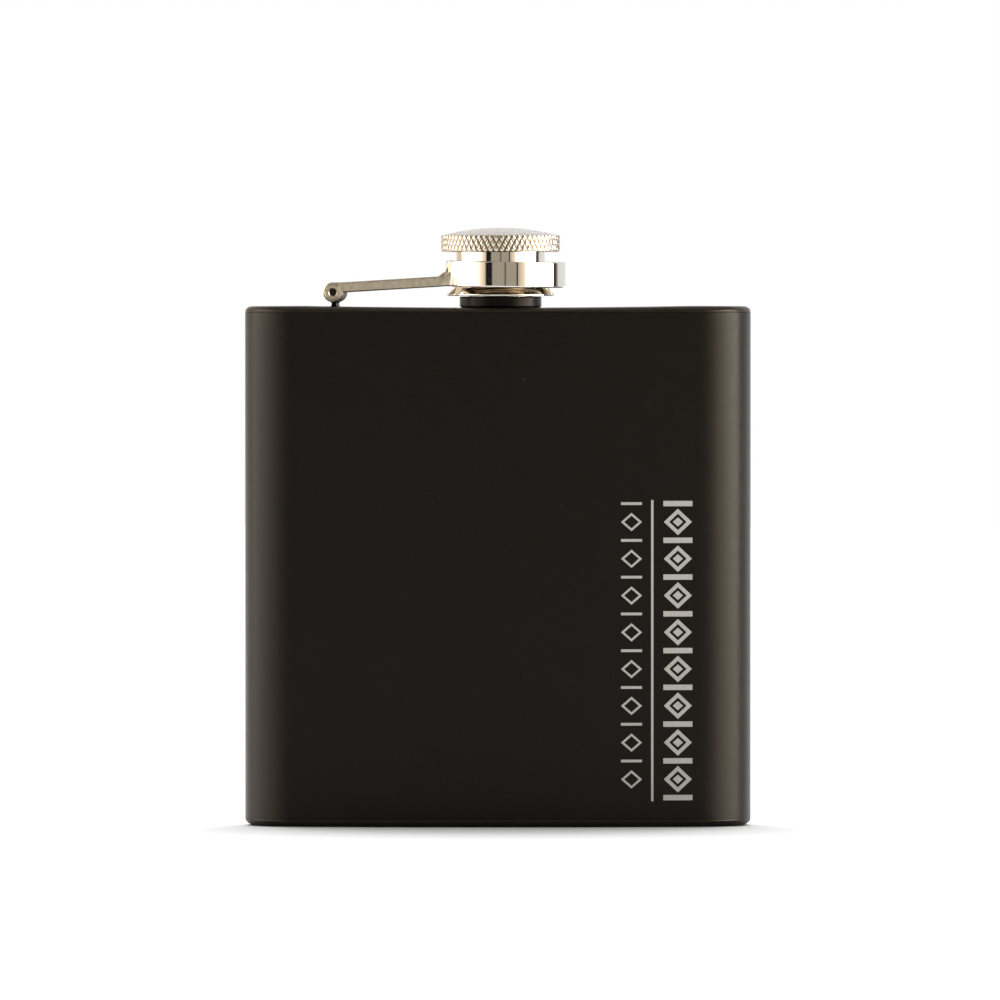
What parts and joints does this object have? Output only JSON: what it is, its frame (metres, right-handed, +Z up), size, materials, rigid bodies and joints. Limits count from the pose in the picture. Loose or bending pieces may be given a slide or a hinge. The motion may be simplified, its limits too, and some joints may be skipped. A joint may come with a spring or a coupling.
{
  "type": "hip flask",
  "caption": "Flat bowed metal pocket flask with rolled end plates, a threaded mouth and a domed knurled screw cap held captive by a hinged strip.",
  "frame": {"origin": "centre of the footprint, on the surface that the flask stands on", "axes": "+Z up through the base and the mouth, +X to the right across the width, -Y out of the bulging front"},
  "size_m": [0.094, 0.025, 0.1111],
  "materials": {
    "coated_wall": "matte powder coat over stainless steel",
    "coated_plate": "matte powder coat over stainless steel",
    "coated_fitting": "matte powder coat over stainless steel",
    "bare_steel": "turned and bare",
    "dark_pin": "dark, dull end",
    "strip_steel": "fine satin on the legs, polished on the ring",
    "polished_crown": "knurled band with a satin dome",
    "polished_skirt": "mirror polish",
    "liner_plastic": "moulded",
    "seal_rubber": "translucent silicone"
  },
  "bodies": {
    "flask": {"body_wall": "coated_wall", "top_plate": "coated_plate", "bottom_plate": "coated_plate", "neck_collar": "coated_fitting", "neck_tube": "bare_steel", "hinge_lug": "coated_fitting"},
    "arm": {"cap_arm": "strip_steel", "hinge_pin": "dark_pin"},
    "seal": {"cap_seal": "seal_rubber"},
    "cap": {"cap_crown": "polished_crown", "cap_skirt": "polished_skirt", "cap_liner": "liner_plastic"}
  },
  "joints": [
    {"name": "arm_swing", "type": "hinge", "parent": "flask", "child": "arm", "pos_m": [-0.0302, 0.00005, 0.0991], "axis": [-0.1219, -0.9925, 0], "range_deg": [0, 175]},
    {"name": "cap_rise", "type": "slide", "parent": "arm", "child": "seal", "axis": [0, 0, 1], "range_m": [0, 0.00075]},
    {"name": "cap_turn", "type": "hinge", "parent": "seal", "child": "cap", "pos_m": [0.0005, -0.00125, 0.1055], "axis": [0, 0, 1], "range_deg": [0, 180]}
  ],
  "couplings": [
    {"joint": "cap_rise", "follows": "cap_turn", "m_per_rad": 0.00023873}
  ]
}
